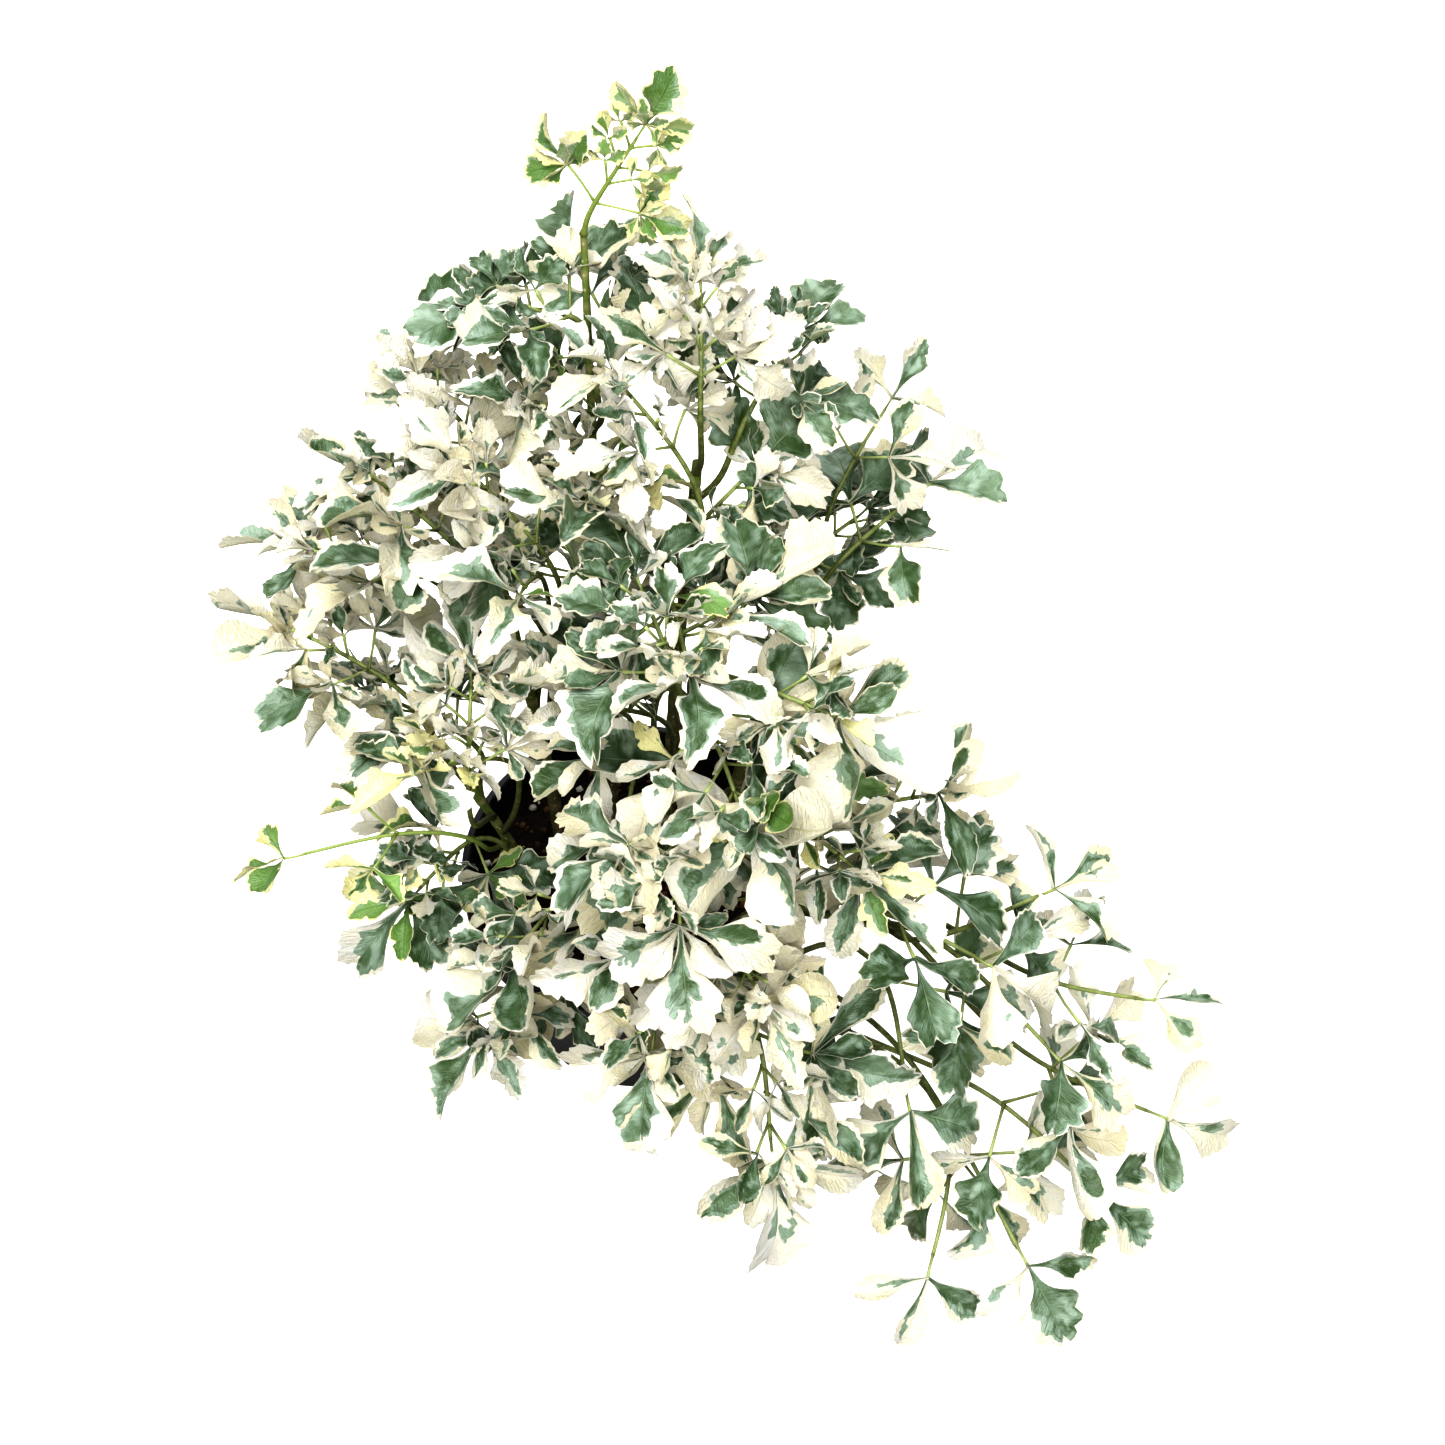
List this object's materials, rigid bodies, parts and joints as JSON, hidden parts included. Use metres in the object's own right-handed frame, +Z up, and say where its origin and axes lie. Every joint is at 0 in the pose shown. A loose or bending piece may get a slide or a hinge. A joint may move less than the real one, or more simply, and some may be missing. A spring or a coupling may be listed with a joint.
{
  "type": "potted snowflake aralia",
  "caption": "Bushy potted foliage plant with white-edged green compound leaves on thin canes, in a round black nursery pot that stands on its flat base.",
  "frame": {"origin": "centre of the pot's flat base, on the surface it stands on", "axes": "+Z up; -Y towards the viewer of the picture; the leafy mass leans to +X and -Y"},
  "size_m": [0.437, 0.375, 0.4599],
  "materials": {
    "pot": "satin",
    "soil": "matte",
    "cane": "matte",
    "leaf_cream": "satin",
    "leaf_mixed": "satin",
    "leaf_green": "satin",
    "leaf_young": "satin"
  },
  "bodies": {
    "root": {"pot": "pot", "soil": "soil", "cane_back": "cane", "cane_middle": "cane", "cane_leftBack": "cane", "cane_left": "cane", "cane_right": "cane", "cane_centre": "cane", "cane_rightFront": "cane", "cane_front": "cane", "frond_01": "leaf_young", "frond_02": "leaf_green", "frond_03": "leaf_green", "frond_04": "leaf_mixed", "frond_05": "leaf_mixed", "frond_06": "leaf_green", "frond_07": "leaf_cream", "frond_08": "leaf_green", "frond_09": "leaf_cream", "frond_10": "leaf_green", "frond_11": "leaf_green", "frond_12": "leaf_cream", "frond_13": "leaf_mixed", "frond_14": "leaf_cream", "frond_15": "leaf_cream", "frond_16": "leaf_mixed", "frond_17": "leaf_mixed", "frond_18": "leaf_cream", "frond_19": "leaf_mixed", "frond_20": "leaf_mixed", "frond_21": "leaf_cream", "frond_22": "leaf_young", "frond_23": "leaf_green", "frond_24": "leaf_cream", "frond_25": "leaf_cream", "frond_26": "leaf_green", "frond_27": "leaf_green", "frond_28": "leaf_mixed", "frond_29": "leaf_mixed", "frond_30": "leaf_mixed", "frond_31": "leaf_cream", "frond_32": "leaf_green", "frond_33": "leaf_green", "frond_34": "leaf_mixed", "frond_35": "leaf_mixed", "frond_36": "leaf_mixed", "frond_37": "leaf_cream", "frond_38": "leaf_green", "frond_39": "leaf_mixed", "frond_40": "leaf_mixed", "frond_41": "leaf_green", "frond_42": "leaf_mixed", "frond_43": "leaf_mixed", "frond_44": "leaf_mixed", "frond_45": "leaf_mixed", "frond_46": "leaf_cream", "frond_47": "leaf_mixed", "frond_48": "leaf_mixed", "frond_49": "leaf_mixed", "frond_50": "leaf_mixed"}
  },
  "joints": []
}
